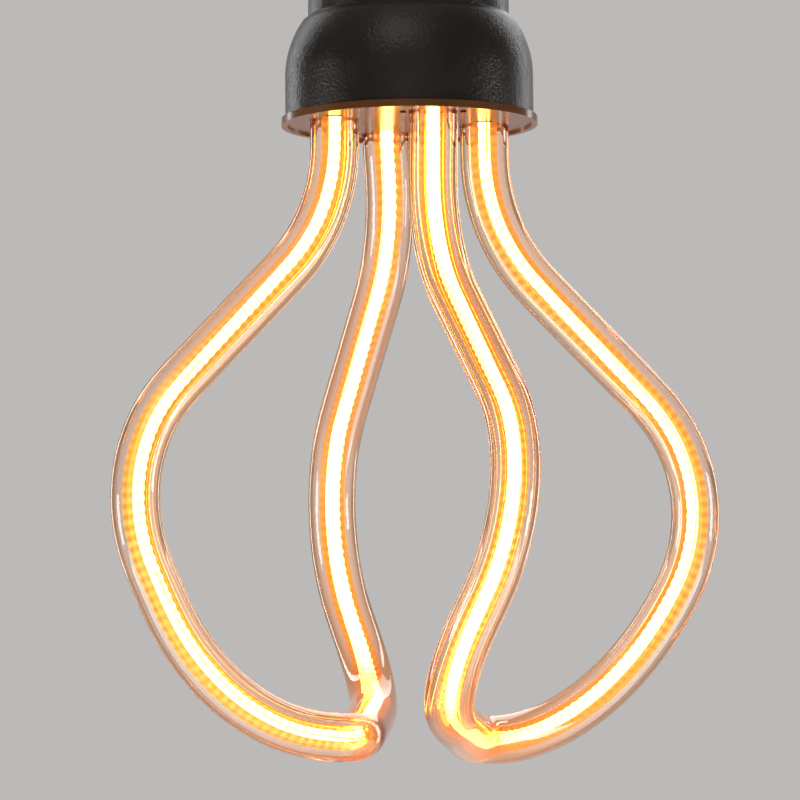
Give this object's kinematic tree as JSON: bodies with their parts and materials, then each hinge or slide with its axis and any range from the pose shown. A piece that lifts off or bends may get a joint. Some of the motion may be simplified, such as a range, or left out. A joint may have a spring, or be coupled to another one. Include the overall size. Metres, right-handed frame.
{
  "type": "led bulb",
  "caption": "Screw-cap LED lamp with bent clear tubes forming an open pear-shaped cage, each lit by a glowing flexible strip.",
  "frame": {"origin": "middle of the centre contact's flat face", "axes": "+Z along the lamp's axis from the cage to the cap, -Y to the front of the pictured view, +X to its right"},
  "size_m": [0.1233, 0.122, 0.185],
  "materials": {
    "cap_metal": "bright nickel-plated sheet",
    "insulator": "glossy black",
    "contact_metal": "bright stamped disc",
    "housing_plastic": "near-black satin with a fine orange-peel grain",
    "plate_plastic": "glossy near-black",
    "seal_rubber": "soft dark",
    "plug_silicone": "soft white",
    "tube_clear": "clear and glossy",
    "carrier_film": "amber film",
    "light_chips": "pale crystal",
    "phosphor_coat": "glowing orange silicone",
    "terminal_metal": "tinned",
    "board_laminate": "green solder mask",
    "capacitor_sleeve": "shrunk dark blue sleeve",
    "film_resin": "dipped red-brown resin",
    "ferrite": "sintered dark grey",
    "copper_wire": "enamelled copper",
    "resistor_coat": "blue-grey lacquer",
    "chip_resin": "moulded black resin",
    "live_insulation": "red sleeve",
    "neutral_insulation": "blue sleeve",
    "solder": "bright solder"
  },
  "bodies": {
    "root": {"screw_shell": "cap_metal", "cap_insulator": "insulator", "centre_contact": "contact_metal", "housing": "housing_plastic", "base_plate": "plate_plastic", "tube_seals": "seal_rubber", "end_plugs": "plug_silicone", "left_tube": "tube_clear", "right_tube": "tube_clear", "left_carrier": "carrier_film", "right_carrier": "carrier_film", "left_chips": "light_chips", "right_chips": "light_chips", "left_inner_phosphor": "phosphor_coat", "left_outer_phosphor": "phosphor_coat", "right_inner_phosphor": "phosphor_coat", "right_outer_phosphor": "phosphor_coat", "left_terminals": "terminal_metal", "right_terminals": "terminal_metal", "driver_board": "board_laminate", "bulk_capacitor": "capacitor_sleeve", "output_capacitor": "capacitor_sleeve", "film_capacitor": "film_resin", "choke_core": "ferrite", "choke_winding": "copper_wire", "fuse_resistor": "resistor_coat", "bridge_rectifier": "chip_resin", "driver_chip": "chip_resin", "output_diode": "chip_resin", "sense_resistors": "chip_resin", "live_lead": "live_insulation", "neutral_lead": "neutral_insulation", "solder_joints": "solder"}
  },
  "joints": []
}
